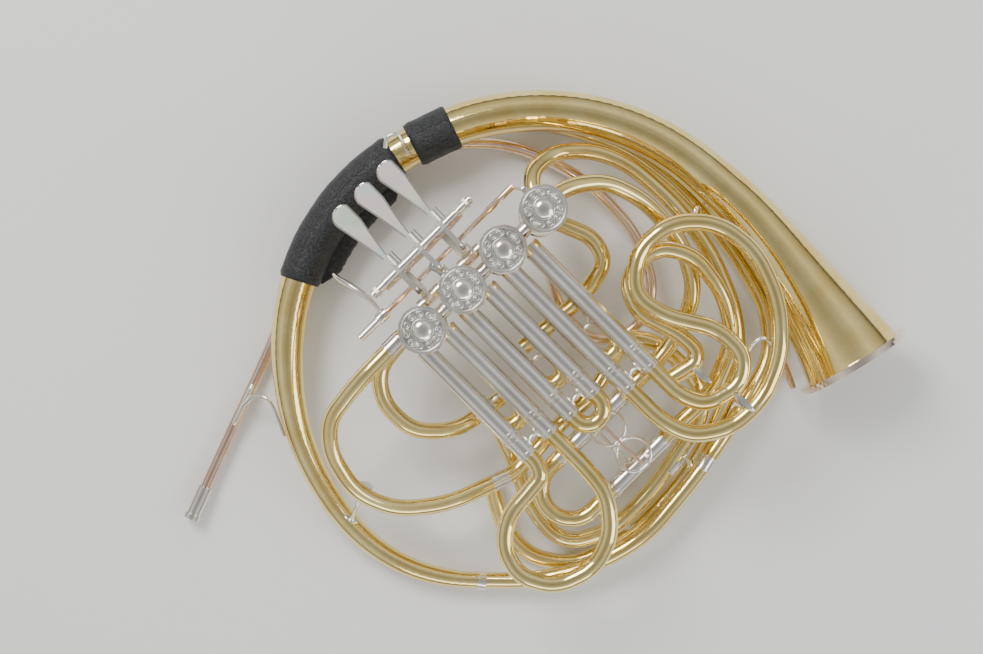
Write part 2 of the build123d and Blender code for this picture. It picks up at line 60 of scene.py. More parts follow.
def plan_origin():
    low, high = (Vector(c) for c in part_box("valve_casing_1"))
    middle = (low + high) / 2
    x = (VALVE_U + VALVE_1_V) / ROOT_2
    y = (VALVE_1_V - VALVE_U) / ROOT_2
    return Vector((middle.x - x * MM, middle.y - y * MM, low.z - CASING_BOTTOM * MM))


ORIGIN = plan_origin()


def xyz(x, y, z):
    return ORIGIN + Vector((x, y, z)) * MM


def uvz(u, v, z):
    return xyz((u + v) / ROOT_2, (v - u) / ROOT_2, z)


# ---------- materials ----------

def new_material(name):
    material = bpy.data.materials.new(name)
    material.use_nodes = True
    return material, material.node_tree.nodes, material.node_tree.links


def noise(tree, links, coords, scale, detail=4.0):
    node = tree.new("ShaderNodeTexNoise")
    node.inputs["Scale"].default_value = scale
    node.inputs["Detail"].default_value = detail
    links.new(coords, node.inputs["Vector"])
    return node.outputs["Fac"]


def ramp(tree, links, value, stops):
    node = tree.new("ShaderNodeValToRGB")
    while len(node.color_ramp.elements) < len(stops):
        node.color_ramp.elements.new(0.5)
    for element, (place, colour) in zip(node.color_ramp.elements, stops):
        element.position = place
        element.color = (*colour, 1.0)
    links.new(value, node.inputs["Fac"])
    return node.outputs["Color"]


def bump(tree, links, height, strength, distance):
    node = tree.new("ShaderNodeBump")
    node.inputs["Strength"].default_value = strength
    node.inputs["Distance"].default_value = distance
    links.new(height, node.inputs["Height"])
    return node.outputs["Normal"]


def metal(name, bright, tarnish, smooth=0.12, rough=0.30, bump_strength=0.05):
    """Polished metal with faint tarnish clouds, wipe marks and fine dents."""
    material, tree, links = new_material(name)
    shader = tree["Principled BSDF"]
    coords = tree.new("ShaderNodeTexCoord").outputs["Object"]
    clouds = noise(tree, links, coords, 38.0, 5.0)
    links.new(ramp(tree, links, clouds, [(0.34, tarnish), (0.62, bright)]), shader.inputs["Base Color"])
    wipes = noise(tree, links, coords, 260.0, 6.0)
    spread = tree.new("ShaderNodeMapRange")
    spread.inputs["From Min"].default_value = 0.3
    spread.inputs["From Max"].default_value = 0.75
    spread.inputs["To Min"].default_value = smooth
    spread.inputs["To Max"].default_value = rough
    links.new(wipes, spread.inputs["Value"])
    links.new(spread.outputs["Result"], shader.inputs["Roughness"])
    shader.inputs["Metallic"].default_value = 1.0
    dents = noise(tree, links, coords, 90.0, 2.0)
    links.new(bump(tree, links, dents, bump_strength, 0.0006), shader.inputs["Normal"])
    return material


def leather_material():
    """Black leather with short creases across it and a painted blue-grey sheen on the raised grain."""
    material, tree, links = new_material("grained_leather")
    shader = tree["Principled BSDF"]
    coords = tree.new("ShaderNodeTexCoord").outputs["Object"]
    creases_and_sheen = noise(tree, links, coords, 640.0, 4.0)
    # The lighter blue-grey end of this ramp, on the raised grain, is painted sheen; the dark end is the leather's own
    # black.
    colour = ramp(tree, links, creases_and_sheen, [(0.38, (0.003, 0.003, 0.004)), (0.68, (0.032, 0.035, 0.042))])
    links.new(colour, shader.inputs["Base Color"])
    shader.inputs["Roughness"].default_value = 0.46
    edge = ramp(tree, links, creases_and_sheen, [(0.38, (0, 0, 0)), (0.60, (1, 1, 1))])
    links.new(bump(tree, links, edge, 0.7, 0.0004), shader.inputs["Normal"])
    return material


def thread_material():
    material, tree, links = new_material("waxed_thread")
    shader = tree["Principled BSDF"]
    coords = tree.new("ShaderNodeTexCoord").outputs["Object"]
    strands = noise(tree, links, coords, 2500.0, 2.0)
    colour = ramp(tree, links, strands, [(0.3, (0.02, 0.02, 0.02)), (0.7, (0.07, 0.065, 0.06))])
    links.new(colour, shader.inputs["Base Color"])
    shader.inputs["Roughness"].default_value = 0.7
    return material


def pearl_material():
    material, tree, links = new_material("mother_of_pearl")
    shader = tree["Principled BSDF"]
    coords = tree.new("ShaderNodeTexCoord").outputs["Object"]
    stops = [
        (0.30, (0.50, 0.60, 0.46)), (0.44, (0.66, 0.66, 0.54)), (0.56, (0.66, 0.57, 0.55)),
        (0.70, (0.46, 0.64, 0.66)),
    ]
    links.new(ramp(tree, links, noise(tree, links, coords, 42.0, 1.5), stops), shader.inputs["Base Color"])
    shader.inputs["Roughness"].default_value = 0.22
    shader.inputs["Coat Weight"].default_value = 0.5
    return material


def floor_material():
    material, tree, links = new_material("pale_floor")
    shader = tree["Principled BSDF"]
    coords = tree.new("ShaderNodeTexCoord").outputs["Object"]
    tone = noise(tree, links, coords, 3.0, 3.0)
    links.new(ramp(tree, links, tone, [(0.0, (0.84, 0.84, 0.83)), (1.0, (0.87, 0.87, 0.86))]), shader.inputs["Base Color"])
    shader.inputs["Roughness"].default_value = 0.9
    return material


BRASS = metal("lacquered_brass", (0.91, 0.74, 0.32), (0.84, 0.63, 0.22), 0.05, 0.13)
NICKEL = metal("nickel_silver", (0.90, 0.87, 0.80), (0.80, 0.75, 0.66), 0.07, 0.18)
WARM_NICKEL = metal("warm_nickel", (0.93, 0.80, 0.68), (0.84, 0.66, 0.52), 0.07, 0.18)
SATIN = metal("satin_nickel", (0.80, 0.77, 0.68), (0.70, 0.66, 0.57), 0.34, 0.46)
ROSE = metal("rose_brass", (0.88, 0.70, 0.56), (0.78, 0.54, 0.40), 0.08, 0.20)
STEEL = metal("blued_screw", (0.42, 0.41, 0.40), (0.22, 0.20, 0.18), 0.25, 0.45)
LEATHER = leather_material()
THREAD = thread_material()
PEARL = pearl_material()
CAP_GROUND = metal("engraved_ground", (0.60, 0.58, 0.54), (0.42, 0.40, 0.36), 0.24, 0.40)
CAP_SCROLL = metal("engraved_scroll", (0.95, 0.93, 0.88), (0.86, 0.83, 0.76), 0.16, 0.26)
SLOT_MATERIAL = {
    "lacquered_brass": BRASS, "nickel_silver": NICKEL, "rose_brass": ROSE, "guard_leather": LEATHER,
}


def dress_cad_nodes():
    slots = {part["node"]: part["material_slot"] for part in frame["record"]["subparts"]}
    for name, obj in nodes.items():
        obj.data.materials.clear()
        obj.data.materials.append(WARM_NICKEL if name == "bell_ring" else SLOT_MATERIAL[slots[name]])


# ---------- mesh tools ----------

def add_mesh(name, points, faces, material, body=HORN, smooth_angle=40.0):
    mesh = bpy.data.meshes.new(name)
    mesh.from_pydata([tuple(p) for p in points], [], faces)
    mesh.update()
    obj = bpy.data.objects.new(name, mesh)
    bpy.context.scene.collection.objects.link(obj)
    mesh.materials.append(material)
    mesh.polygons.foreach_set("use_smooth", [True] * len(mesh.polygons))
    mesh.set_sharp_from_angle(angle=math.radians(smooth_angle))
    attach(obj, body)
    return obj


def frame_along(direction):
    along = Vector(direction).normalized()
    side = along.cross(Vector((0, 0, 1)))
    if side.length < 1e-4:
        side = Vector((1, 0, 0))
    side.normalize()
    return along, side, side.cross(along)


def lathe(name, start, direction, profile, material, body=HORN, steps=48, ridges=None):
    """Turns a profile of (distance along, radius), in mm, round an axis."""
    along, side, up = frame_along(direction)
    points, faces = [], []
    for distance, radius in profile:
        for i in range(steps):
            angle = 2 * math.pi * i / steps
            r = radius
            if ridges and ridges[0] <= distance <= ridges[1] and i % 2:
                r -= ridges[2]
            ring = side * math.cos(angle) + up * math.sin(angle)
            points.append(start + (along * distance + ring * r) * MM)
    for j in range(len(profile) - 1):
        for i in range(steps):
            k = (i + 1) % steps
            faces.append((j * steps + i, j * steps + k, (j + 1) * steps + k, (j + 1) * steps + i))
    faces.append(tuple(reversed(range(steps))))
    faces.append(tuple((len(profile) - 1) * steps + i for i in range(steps)))
    return add_mesh(name, points, faces, material, body)


def smooth_line(points, per_run=6):
    """Catmull-Rom points through a few given ones."""
    count = len(points)
    line = []
    for i in range(count - 1):
        a, b = points[max(i - 1, 0)], points[i]
        c, d = points[i + 1], points[min(i + 2, count - 1)]
        for k in range(per_run):
            t = k / per_run
            line.append(
                0.5 * ((2 * b) + (c - a) * t + (2 * a - 5 * b + 4 * c - d) * t**2 + (3 * b - a - 3 * c + d) * t**3)
            )
    line.append(points[-1])
    return line


def sweep(name, line, radius, material, body=HORN, steps=12, widths=None, tall=None):
    """A round bar along a line, in mm across, with rounded ends."""
    points, faces = [], []
    count = len(line)
    _, side, up = frame_along(line[1] - line[0])
    for j, centre in enumerate(line):
        along = (line[min(j + 1, count - 1)] - line[max(j - 1, 0)]).normalized()
        side = (side - along * side.dot(along)).normalized()
        up = side.cross(along)
        r = radius * (widths[j] if widths else 1.0)
        if j in (0, count - 1):
            r *= 0.7
        for i in range(steps):
            angle = 2 * math.pi * i / steps
            rise = tall[j] if tall else 1.0
            points.append(centre + (side * math.cos(angle) + up * math.sin(angle) * rise) * r * MM)
    for j in range(count - 1):
        for i in range(steps):
            k = (i + 1) % steps
            faces.append((j * steps + i, j * steps + k, (j + 1) * steps + k, (j + 1) * steps + i))
    faces.append(tuple(reversed(range(steps))))
    faces.append(tuple((count - 1) * steps + i for i in range(steps)))
    return add_mesh(name, points, faces, material, body, smooth_angle=60)


def thin_bars(name, lines, radius, material, body=HORN, steps=6):
    """Many fine round bars as one piece."""
    points, faces = [], []
    for line in lines:
        base = len(points)
        count = len(line)
        _, side, up = frame_along(line[1] - line[0])
        for j, centre in enumerate(line):
            along = (line[min(j + 1, count - 1)] - line[max(j - 1, 0)]).normalized()
            side = (side - along * side.dot(along)).normalized()
            up = side.cross(along)
            r = radius * (0.45 if j in (0, count - 1) else 1.0)
            for i in range(steps):
                angle = 2 * math.pi * i / steps
                points.append(centre + (side * math.cos(angle) + up * math.sin(angle)) * r * MM)
        for j in range(count - 1):
            row = base + j * steps
            for i in range(steps):
                k = (i + 1) % steps
                faces.append((row + i, row + k, row + steps + k, row + steps + i))
        faces.append(tuple(base + i for i in reversed(range(steps))))
        faces.append(tuple(base + (count - 1) * steps + i for i in range(steps)))
    return add_mesh(name, points, faces, material, body, smooth_angle=80)


def straight(a, b, pieces=4):
    return [a.lerp(b, i / pieces) for i in range(pieces + 1)]


def band(name, start, end, radius, material=NICKEL, body=HORN, lip=0.5):
    """A ferrule with a rolled bead at each end."""
    length = (end - start).length / MM
    profile = [(0.0, radius), (0.25, radius + lip), (1.1, radius + lip), (1.5, radius + 0.15)]
    profile += [(length - d, r) for d, r in reversed(profile)]
    return lathe(name, start, end - start, profile, material, body)


def flange(name, centre, direction, across, size, body=HORN, slim=0.52):
    """A diamond foot with a curved outline, soldered against a tube."""
    along = Vector(direction).normalized()
    across = Vector(across).normalized()
    other = along.cross(across)
    outline = []
    for i in range(32):
        angle = 2 * math.pi * i / 32
        shape = abs(math.cos(angle)) ** 1.6
        outline.append((size * math.copysign(shape, math.cos(angle)), size * slim * math.sin(angle)))
    points, faces = [], []
    for height, scale in ((-0.5, 1.0), (0.5, 1.0), (0.9, 0.86)):
        for a, b in outline:
            points.append(centre + (across * a * scale + other * b * scale + along * height) * MM)
    for j in range(2):
        for i in range(32):
            k = (i + 1) % 32
            faces.append((j * 32 + i, j * 32 + k, (j + 1) * 32 + k, (j + 1) * 32 + i))
    faces.append(tuple(reversed(range(32))))
    faces.append(tuple(64 + i for i in range(32)))
    return add_mesh(name, points, faces, NICKEL, body)


def brace(name, a, b, body=HORN, size=5.2):
    """A turned cross brace with a diamond foot at each end."""
    direction = b - a
    length = direction.length / MM
    profile = [
        (0, 2.0), (length * 0.16, 1.3), (length * 0.40, 1.3), (length * 0.44, 2.1), (length * 0.56, 2.1),
        (length * 0.60, 1.3), (length * 0.84, 1.3), (length, 2.0),
    ]
    lathe(name, a, direction, profile, NICKEL, body, steps=24)
    level = Vector((0, 0, 1)).cross(direction)
    flange(name + "_foot_a", a, direction, level, size, body)
    flange(name + "_foot_b", b, -direction, level, size, body)


def screw(name, centre, radius, height=1.2, body=HORN):
    """A domed screw head with a cut slot."""
    steps = 24
    points, faces = [], []
    rings = ((0.0, 1.0), (0.55, 1.0), (0.85, 0.86), (1.0, 0.6))
    for rise, share in rings:
        for i in range(steps):
            angle = 2 * math.pi * i / steps
            x, y = math.cos(angle) * radius * share, math.sin(angle) * radius * share
            drop = 0.45 if share < 0.9 and abs(y) < radius * 0.17 else 0.0
            points.append(centre + Vector((x, y, height * rise - drop)) * MM)
    for j in range(len(rings) - 1):
        for i in range(steps):
            k = (i + 1) % steps
            faces.append((j * steps + i, j * steps + k, (j + 1) * steps + k, (j + 1) * steps + i))
    faces.append(tuple((len(rings) - 1) * steps + i for i in range(steps)))
    faces.append(tuple(reversed(range(steps))))
    return add_mesh(name, points, faces, STEEL, body, smooth_angle=30)


# ---------- valves ----------

CAP_BASE = 112.0
CAP_TOP = 118.0
CAP_R = 17.0
CAP_RECESS = 1.0
SCROLLS = 11


def scroll_lines(centre):
    """Curls and leaves round a cap, between its dome and its rim."""
    def at(radius, angle, rise=0.0):
        return centre + Vector((radius * math.cos(angle), radius * math.sin(angle), rise)) * MM

    lines = []
    for i in range(SCROLLS):
        middle = 2 * math.pi * i / SCROLLS
        hand = 1 if i % 2 else -1
        heart = at(11.4, middle)
        curl = []
        for j in range(20):
            share = j / 19
            turn = middle + hand * (0.6 + 3.3 * math.pi * share)
            size = 2.9 - 2.3 * share
            curl.append(heart + Vector((size * math.cos(turn), size * math.sin(turn), 0)) * MM)
        lines.append(curl)
        for reach, bend in ((0.26, 0.5), (0.30, -0.4)):
            leaf = []
            for j in range(8):
                share = j / 7
                angle = middle + hand * (reach + 0.11 * math.sin(math.pi * share) * bend)
                leaf.append(at(8.3 + 5.8 * share, angle))
            lines.append(leaf)
    for radius in (7.6, 14.6):
        lines.append([at(radius, 2 * math.pi * j / 48) for j in range(49)])
    return lines


def engraved_caps():
    height = CAP_TOP - CAP_BASE
    floor = height - CAP_RECESS
    rim = [
        (0.0, CAP_R - 0.6), (0.3, CAP_R), (height - 1.2, CAP_R), (height - 0.3, CAP_R - 0.5),
        (height, CAP_R - 1.1), (height - 0.1, CAP_R - 1.6), (floor, CAP_R - 1.9), (floor, 0.2),
    ]
    dome = [
        (0.0, 7.0), (0.5, 7.0), (0.5, 6.5), (0.35, 6.2), (0.8, 5.6), (1.25, 4.4), (1.6, 2.9), (1.75, 1.4), (1.8, 0.1),
    ]
    for number in (1, 2, 3, 4):
        low, high = (Vector(c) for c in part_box(f"valve_cap_{number}"))
        base = (low + high) / 2
        base.z = low.z
        up = Vector((0, 0, 1))
        disc = lathe(
            f"engraved_cap_{number}", base, up, rim, CAP_GROUND, HORN,
            steps=96, ridges=(0.2, height - 1.1, 0.35),
        )
        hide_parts(f"valve_cap_{number}")
        top = base + up * floor * MM
        lathe(f"cap_dome_{number}", top, up, dome, NICKEL, HORN, 64)
        lines = scroll_lines(top + up * 0.1 * MM)
        thin_bars(f"cap_scrolls_{number}", lines, 0.34, CAP_SCROLL, HORN)
        ring = [(-0.2, CAP_R - 2.2), (0.9, CAP_R - 1.7), (1.0, CAP_R - 1.1), (0.9, CAP_R - 0.5), (-0.2, CAP_R - 0.1)]
        lathe(f"cap_rim_{number}", top, up, ring, CAP_SCROLL, HORN, 96)
        for level, name in ((CASING_BOTTOM + 2.5, "low"), (CAP_BASE - 3.0, "high")):
            at = Vector((base.x, base.y, ORIGIN.z + level * MM))
            bead = [(0, 16.2), (0.4, 16.8), (1.2, 16.8), (1.6, 16.2)]
            lathe(f"casing_bead_{name}_{number}", at, up, bead, NICKEL, HORN, 64)


# ---------- levers ----------

HINGE_U, HINGE_Z = -104.2, 108.0
LEVER_V = (-38.8, -17.2, 4.4)
PADDLE_U, PADDLE_TOP, PADDLE_R = -154.9, 121.8, 8.6
ROD_V = (-58.0, 26.0)
POST_V = (-49.6, -28.0, -6.4, 15.2)
HUB_HALF = 8.5


BLADE_LENGTH = 56.0
TIP_R = 8.8
CLIPPED_SIDE = 7.2
NECK_HALF = 2.0


def blade(name, v, inset, crown, thickness, material, body):
    """A drop-shaped touch plate: a round tip clipped on one side, thinning towards the hinge."""
    rows, columns = 52, 13
    points = []
    tip_u = PADDLE_U - TIP_R
    for j in range(rows):
        share = (1 - math.cos(math.pi * j / (rows - 1))) / 2
        d = inset + (BLADE_LENGTH - 2.5 * inset) * share
        if d < TIP_R:
            half = math.sqrt(max(TIP_R**2 - (TIP_R - d) ** 2, 0.0))
        else:
            s = (d - TIP_R) / (BLADE_LENGTH - TIP_R)
            half = NECK_HALF + (TIP_R - NECK_HALF) * (1 - s) ** 1.94 * (1 + 0.7 * s)
        half = max(half - inset, 0.05)
        if d < inset + 0.3:
            half = 0.4
        high = min(half, CLIPPED_SIDE - inset)
        u = tip_u + d
        level = PADDLE_TOP + 0.3 - 0.11 * max(0.0, d - 12.8) - 0.376 * max(0.0, d - 47.5)
        for side in range(columns):
            s = -1 + 2 * side / (columns - 1)
            width = high if s > 0 else half
            top = level + crown * (1 - s * s) ** 0.5
            points.append(uvz(u, v + s * width, top))
        for side in range(columns):
            s = -1 + 2 * side / (columns - 1)
            width = high if s > 0 else half
            points.append(uvz(u, v + s * width, level - thickness * (1 - abs(s) ** 3)))
    faces = []
    step = 2 * columns
    for j in range(rows - 1):
        for i in range(columns - 1):
            a, b = j * step + i, (j + 1) * step + i
            faces.append((a, b, b + 1, a + 1))
            faces.append((a + columns + 1, b + columns + 1, b + columns, a + columns))
        a, b = j * step, (j + 1) * step
        faces.append((a, a + columns, b + columns, b))
        end = columns - 1
        faces.append((a + end, b + end, b + columns + end, a + columns + end))
    last = (rows - 1) * step
    for i in range(columns - 1):
        faces.append((i, i + 1, columns + i + 1, columns + i))
        faces.append((last + i + 1, last + i, last + columns + i, last + columns + i + 1))
    return add_mesh(name, points, faces, material, body, smooth_angle=50)


def lever_dress():
    for number, v in enumerate(LEVER_V, 1):
        body = f"finger_lever_{number}"
        blade(f"touch_plate_{number}", v, 0.0, 0.25, 2.4, NICKEL, body)
        blade(f"pearl_inlay_{number}", v, 0.9, 0.75, 0.9, PEARL, body)
        # hub collars
        for side, name in ((-HUB_HALF, "a"), (-3.4, "b"), (2.4, "c"), (HUB_HALF - 1.0, "d")):
            start = uvz(HINGE_U, v + side, HINGE_Z)
            collar = [(0, 3.4), (0.15, 3.95), (0.85, 3.95), (1.0, 3.4)]
            axis = uvz(0, 1, 0) - uvz(0, 0, 0)
            lathe(f"hub_collar_{name}_{number}", start, axis, collar, NICKEL, body, 32)
        # link rod to the valve, with its swivel and screw
        end_u = -84.0
        a, b = uvz(end_u - 1, v + 3.2, HINGE_Z + 0.6), uvz(end_u + 11, v + 3.2, HINGE_Z + 0.6)
        sweep(f"link_rod_{number}", straight(a, b), 1.0, NICKEL, body)
        low = uvz(end_u, v, HINGE_Z - 1.4)
        ball = [(0, 1.4), (1.4, 2.3), (2.4, 2.3), (3.6, 1.4)]
        lathe(f"link_swivel_{number}", low, (0, 0, 1), ball, NICKEL, body, 32)
        screw(f"link_screw_{number}", uvz(end_u, v, HINGE_Z + 2.0), 1.7, 1.0, body)


def hinge_dress():
    axis = uvz(0, 1, 0) - uvz(0, 0, 0)
    for v, sign, name in ((ROD_V[0], -1, "low"), (ROD_V[1], 1, "high")):
        inner = uvz(HINGE_U, v, HINGE_Z)
        profile = [
            (0, 2.6), (0.2, 4.2), (2.4, 4.2), (2.7, 2.6), (3.3, 2.6), (3.6, 3.4), (5.2, 3.4), (5.5, 1.6),
            (6.2, 1.8), (6.6, 0.4),
        ]
        lathe(
            f"finial_{name}", inner, axis * sign, profile, NICKEL, HORN, 40, (0.1, 2.5, 0.5),
        )
        collar = [(0, 2.3), (0.2, 3.2), (6.0, 3.2), (6.4, 2.3)]
        lathe(
            f"hinge_end_{name}", inner - axis.normalized() * sign * 6.4 * MM, axis * sign, collar, NICKEL, HORN,
            32,
        )
    for number, v in enumerate(LEVER_V, 1):
        for side, dv in (("a", 3.6), ("b", 6.0)):
            wire = [
                uvz(HINGE_U - 13.0, v + dv, HINGE_Z + 0.5), uvz(HINGE_U - 7.0, v + dv, HINGE_Z - 1.5),
                uvz(HINGE_U - 1.0, v + dv, HINGE_Z - 4.4), uvz(HINGE_U + 6.0, v + dv, HINGE_Z - 5.4),
            ]
            sweep(f"spring_wire_{side}_{number}", smooth_line(wire), 0.4, STEEL, HORN, 8)


def posts_dress():
    """The hinge's fixed segments and rail, and the two flat bridges to the valves."""
    axis = uvz(0, 1, 0) - uvz(0, 0, 0)
    pieces = []
    for number, v in enumerate(POST_V, 1):
        segment = [(0, 3.0), (0.2, 3.7), (3.8, 3.7), (4.0, 3.0)]
        start = uvz(HINGE_U, v - 2.0, HINGE_Z)
        pieces.append(lathe(f"hinge_segment_{number}", start, axis, segment, NICKEL, HORN, 40))
    rail = straight(uvz(HINGE_U + 3.6, -54.0, 102.0), uvz(HINGE_U + 3.6, 20.0, 102.0))
    pieces.append(sweep("hinge_rail", rail, 1.7, ROSE, HORN))
    for name, v in (("one", -37.4), ("two", 2.0)):
        pieces.append(bridge_plate(name, v))
        stem = straight(uvz(HINGE_U + 3.4, v, 101.0), uvz(HINGE_U + 3.4, v, 105.5), 2)
        sweep(f"bridge_stem_{name}", stem, 2.2, NICKEL, HORN)
        hub_v = v + 1.1
        boss = [(0, 3.4), (0.3, 4.2), (5.0, 4.2), (5.3, 3.6), (15.5, 3.6), (15.8, 4.2), (20.5, 4.2), (20.8, 3.4)]
        start = uvz(-76.0, hub_v - 10.4, 92.0)
        lathe(f"bridge_tube_{name}", start, axis, boss, NICKEL, HORN, 40)
        coil = []
        for j in range(73):
            turn = 2 * math.pi * j / 12
            coil.append(
                uvz(-76.0 + 4.3 * math.cos(turn), hub_v - 4.5 + 9.0 * j / 72, 92.0 + 4.3 * math.sin(turn))
            )
        sweep(f"bridge_coil_{name}", coil, 0.45, ROSE, HORN, 8)
    for piece in pieces:
        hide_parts("lever_posts")


def bridge_plate(name, v):
    """A satin plate with bevelled edges and a lug at the valve end."""
    near, far, half = -101.0, -79.5, 3.7
    outline = [(near, half), (near, -half), (far - 2, -half), (far, -half + 1.6), (far, half - 1.6), (far - 2, half)]
    count = len(outline)
    middle = (near + far) / 2
    points = []
    for z, shrink in ((97.0, 0.0), (99.0, 0.0), (99.4, 0.4)):
        for u, dv in outline:
            inward = math.copysign(shrink, middle - u)
            points.append(uvz(u + inward, v + dv - math.copysign(shrink, dv), z))
    faces = [tuple(reversed(range(count))), tuple(range(2 * count, 3 * count))]
    for j in range(2):
        for i in range(count):
            k = (i + 1) % count
            faces.append((j * count + i, j * count + k, (j + 1) * count + k, (j + 1) * count + i))
    return add_mesh(f"bridge_plate_{name}", points, faces, SATIN, HORN)


THUMB_U, THUMB_Z = -90.3, 92.0
SPOON_V = -69.0


def thumb_dress():
    """The long thumb rod, its clamp collar, the spoon and the crank at the far valve."""
    body = "thumb_key"
    axis = uvz(0, 1, 0) - uvz(0, 0, 0)
    thick = [(0, 2.5), (0.4, 2.9), (18.0, 2.9), (18.4, 1.8)]
    shaft = lathe("thumb_rod_end", uvz(THUMB_U, -92, THUMB_Z), axis, thick, NICKEL, body, 32)
    thin = [(0, 1.8), (106, 1.8), (107, 2.4), (132, 2.4), (132.4, 1.6)]
    rod = lathe("thumb_rod", uvz(THUMB_U, -72.4, THUMB_Z), axis, thin, ROSE, body, 32)
    collar = [(0, 3.0), (0.4, 4.2), (8.6, 4.2), (9.0, 3.0)]
    lathe("thumb_collar", uvz(THUMB_U, -74, THUMB_Z), axis, collar, NICKEL, body, 40)
    screw("thumb_collar_screw", uvz(THUMB_U, -69.5, THUMB_Z + 3.9), 1.6, 1.0, body)
    line = [
        uvz(THUMB_U - 2, SPOON_V, THUMB_Z), uvz(THUMB_U - 13, SPOON_V + 1.5, THUMB_Z - 1),
        uvz(THUMB_U - 28, SPOON_V - 1.0, THUMB_Z - 4), uvz(THUMB_U - 39, SPOON_V - 4.0, THUMB_Z - 9),
        uvz(THUMB_U - 46, SPOON_V - 4.5, THUMB_Z - 13),
    ]
    line = smooth_line(line, 8)
    widths = [0.9 + 2.2 * math.sin(math.pi * 0.92 * (i / len(line)) ** 0.9) for i in range(len(line))]
    spoon = sweep(
        "thumb_spoon", line, 0.85, NICKEL, body, 24, widths, tall=[
            1.4 + 1.0 * math.sin(math.pi * 0.9 * (i / len(line)) ** 0.8) for i in range(len(line))
        ],
    )
    for piece in (shaft, rod, spoon):
        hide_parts("thumb_lever")
    crank = [uvz(THUMB_U, 58, THUMB_Z), uvz(THUMB_U + 4.0, 61, 92.5), uvz(THUMB_U + 7.6, 63, 93)]
    sweep("thumb_crank", smooth_line(crank), 1.1, NICKEL, body)
    eye = [(0, 1.9), (0.2, 2.4), (2.2, 2.4), (2.4, 1.9)]
    lathe("thumb_crank_eye", uvz(THUMB_U + 8.0, 63.5, 91.8), (0, 0, 1), eye, NICKEL, body, 32)


def stop_tab():
    """A flat lug on the second valve with a screw eye."""
    centre = xyz(-75.8, 49.4, 103.0)
    to_valve = (uvz(VALVE_U, VALVE_1_V + 39.4, 103.0) - centre).normalized()
    across = to_valve.cross(Vector((0, 0, 1)))
    outline = []
    for i in range(17):
        angle = math.pi * (0.5 + i / 16)
        outline.append((4.2 * math.cos(angle), 4.2 * math.sin(angle)))
    outline += [(4.0, -3.0), (12.0, -3.4), (12.0, 3.4), (4.0, 3.0)]
    count = len(outline)
    points = []
    for height in (-0.8, 0.8):
        for a, b in outline:
            points.append(centre + (to_valve * a + across * b) * MM + Vector((0, 0, height * MM)))
    faces = [tuple(reversed(range(count))), tuple(range(count, 2 * count))]
    for i in range(count):
        k = (i + 1) % count
        faces.append((i, k, count + k, count + i))
    add_mesh("stop_tab", points, faces, NICKEL, HORN, smooth_angle=30)
    ring = [(0, 1.5), (0.3, 2.0), (0.9, 2.0), (1.1, 1.4), (0.5, 0.9)]
    lathe("stop_tab_eye", centre + Vector((0, 0, 0.7 * MM)), (0, 0, 1), ring, NICKEL, HORN, 32)


# ---------- slides ----------

LEG_V = {"f_1": (-66, -44), "f_2": (-25, -3), "f_3": (16.5, 38.5)}
SLEEVE_END = {"f_1": 33.4, "f_2": 35.3, "f_3": 50.6, "b_1": 2.0, "b_2": 2.0, "b_3": 12.0}
FERRULE = {"f": 17.0, "b": 8.0}
LEVELS = {"f": 94.0, "b": 66.0}
BODY = {"f": "f_slide_", "b": "b_flat_slide_"}
SLEEVE_R = 6.7


def slide_dress():
    for kind, level in LEVELS.items():
        for number in (1, 2, 3):
            end = SLEEVE_END[f"{kind}_{number}"]
            body = f"{BODY[kind]}{number}"
            for side, v in zip("ab", LEG_V[f"f_{number}"]):
                tag = f"{kind}_{number}_{side}"
                band(f"sleeve_end_{tag}", uvz(end - 3.2, v, level), uvz(end, v, level), SLEEVE_R + 0.05)
                start = end + 1.0
                stop = start + FERRULE[kind]
                band(
                    f"ferrule_ring_{tag}", uvz(start, v, level), uvz(start + 3.4, v, level), SLEEVE_R + 0.05,
                    NICKEL, body,
                )
                band(
                    f"crook_ring_{tag}", uvz(stop - 3.0, v, level), uvz(stop + 0.6, v, level), SLEEVE_R + 0.05,
                    NICKEL, body,
                )
            low_v, high_v = LEG_V[f"f_{number}"]
            middle_u = end + 1.0 + FERRULE[kind] * 0.55
            a, b = uvz(middle_u, low_v + SLEEVE_R, level), uvz(middle_u, high_v - SLEEVE_R, level)
            brace(f"slide_brace_{kind}_{number}", a, b, body, 4.4)


TUNING_Z = 50.0


def tuning_dress():
    for name, u in (("a", 71.5), ("b", 115.0)):
        band(f"tuning_sleeve_end_{name}", uvz(u, -42, TUNING_Z), uvz(u, -38.6, TUNING_Z), SLEEVE_R + 0.05)
        band(f"tuning_sleeve_root_{name}", uvz(u, 7, TUNING_Z), uvz(u, 10.6, TUNING_Z), SLEEVE_R + 0.05)
        body = "main_tuning_slide"
        band(f"tuning_ferrule_{name}", uvz(u, -55, TUNING_Z), uvz(u, -43.2, TUNING_Z), 6.2, NICKEL, body)
    a, b = uvz(71.5 + SLEEVE_R, -20, TUNING_Z), uvz(115 - SLEEVE_R, -20, TUNING_Z)
    brace("tuning_brace", a, b)


# ---------- fixed tubes ----------

def ferrules_on_branches():
    places = {
        "left_root": ((-100.5, -1, 94), (-109.5, -10.2, 94), 6.3),
        "lower_left_join": ((-36, -106.5, 51.0), (-24, -101.2, 48.8), 6.3),
        "lower_leg": ((101, -92.3, 24), (94, -100.5, 24), 6.3),
        "outer_join": ((124.5, -88.7, 29.4), (118.5, -98.4, 29.9), 6.3),
        "second_join": ((97, -119.6, 12.6), (89.5, -127.8, 12.1), 6.3),
        "inner_left_root": ((-100.3, -1.1, 67), (-106, -8.6, 67), 6.3),
    }
    for name, (start, end, radius) in places.items():
        band(f"branch_ferrule_{name}", xyz(*start), xyz(*end), radius)


